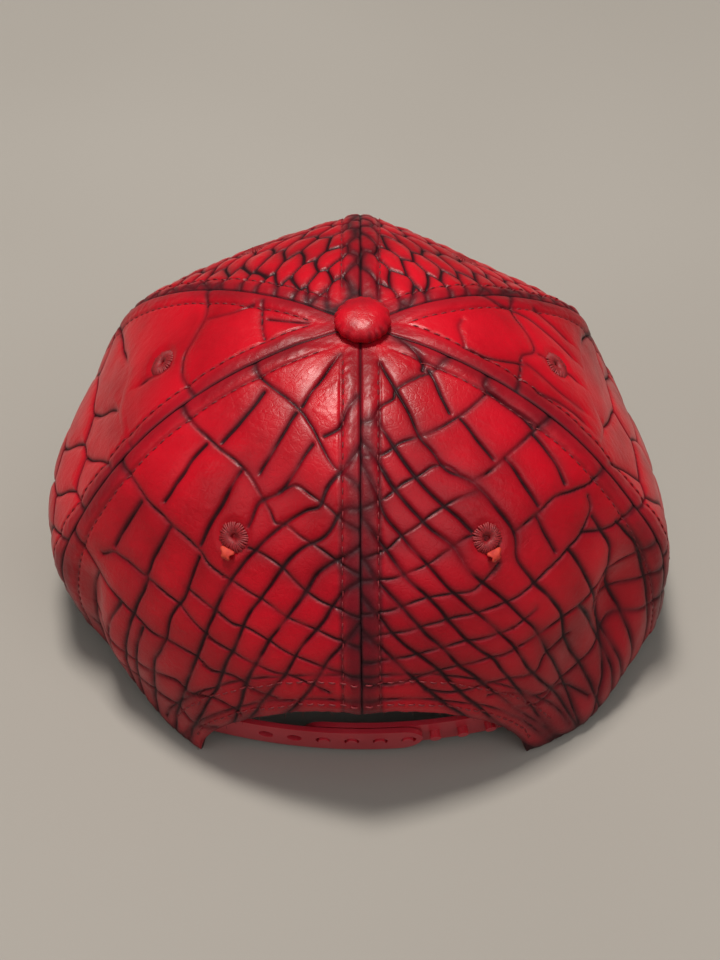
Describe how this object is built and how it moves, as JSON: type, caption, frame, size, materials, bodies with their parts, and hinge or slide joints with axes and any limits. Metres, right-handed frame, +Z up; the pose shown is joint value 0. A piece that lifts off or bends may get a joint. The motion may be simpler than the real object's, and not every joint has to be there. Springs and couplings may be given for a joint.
{
  "type": "bump cap",
  "caption": "Six-panel leather cap with a curved visor, top button, eyelets, rear arch with snap strap, and a removable protective insert.",
  "frame": {"origin": "bottom centre of the resting cap's box, on the surface it stands on", "axes": "-Y the way the visor points, +X the wearer's left, +Z up; the crown axis leans back by the resting tilt"},
  "size_m": [0.1912, 0.257, 0.1169],
  "materials": {
    "red_leather": "crocodile-embossed, glossy coated",
    "red_thread": "embroidered",
    "tape_cloth": "woven bias tape",
    "buckram": "open stiffened weave",
    "sweatband_cloth": "twill",
    "foam": "closed-cell foam",
    "steel": "stamped",
    "board_plastic": "moulded",
    "strap_plastic": "translucent, moulded",
    "insert_plastic": "moulded, fine grain",
    "trim_rubber": "soft, matte"
  },
  "bodies": {
    "crown": {"panel_front_left": "red_leather", "panel_front_right": "red_leather", "panel_side_left": "red_leather", "panel_side_right": "red_leather", "panel_back_left": "red_leather", "panel_back_right": "red_leather", "eyelet_front_left": "red_thread", "eyelet_front_right": "red_thread", "eyelet_side_left": "red_thread", "eyelet_side_right": "red_thread", "eyelet_back_left": "red_thread", "eyelet_back_right": "red_thread", "buckram_left": "buckram", "arch_facing_left": "red_leather", "buckram_right": "buckram", "arch_facing_right": "red_leather", "seam_tape_front": "tape_cloth", "seam_tape_back": "tape_cloth", "seam_tape_front_left": "tape_cloth", "seam_tape_back_left": "tape_cloth", "seam_tape_front_right": "tape_cloth", "seam_tape_back_right": "tape_cloth", "sweatband": "sweatband_cloth", "sweatband_foam": "foam", "button_cover": "red_leather", "button_shell": "steel", "button_rivet": "steel", "visor_top_cover": "red_leather", "visor_board": "board_plastic", "visor_under_cover": "red_leather", "strap_tab_left": "strap_plastic", "strap_tab_right": "strap_plastic"},
    "strap_hole_half": {"strap_hole_half": "strap_plastic"},
    "strap_stud_half": {"strap_stud_half": "strap_plastic"},
    "insert": {"insert_shell": "insert_plastic", "insert_edge_trim": "trim_rubber", "insert_pad_crown": "foam", "insert_pad_left": "foam", "insert_pad_back": "foam", "insert_pad_right": "foam", "insert_pad_front": "foam", "insert_spacer_left": "foam", "insert_spacer_right": "foam", "insert_spacer_front_left": "foam", "insert_spacer_front_right": "foam"}
  },
  "joints": [
    {"name": "strap_hole_half_flex", "type": "hinge", "parent": "crown", "child": "strap_hole_half", "pos_m": [0.044, 0.10763, 0.00996], "axis": [0, -0.2767, -0.961], "range_deg": [0, 35], "stiffness_Nm_per_rad": 0.01},
    {"name": "strap_stud_half_flex", "type": "hinge", "parent": "crown", "child": "strap_stud_half", "pos_m": [-0.044, 0.1058, 0.01049], "axis": [0, -0.2767, -0.961], "range_deg": [0, 25], "stiffness_Nm_per_rad": 0.01},
    {"name": "insert_slide", "type": "slide", "parent": "crown", "child": "insert", "axis": [0, -0.1403, -0.9901], "range_m": [0, 0.105]}
  ]
}
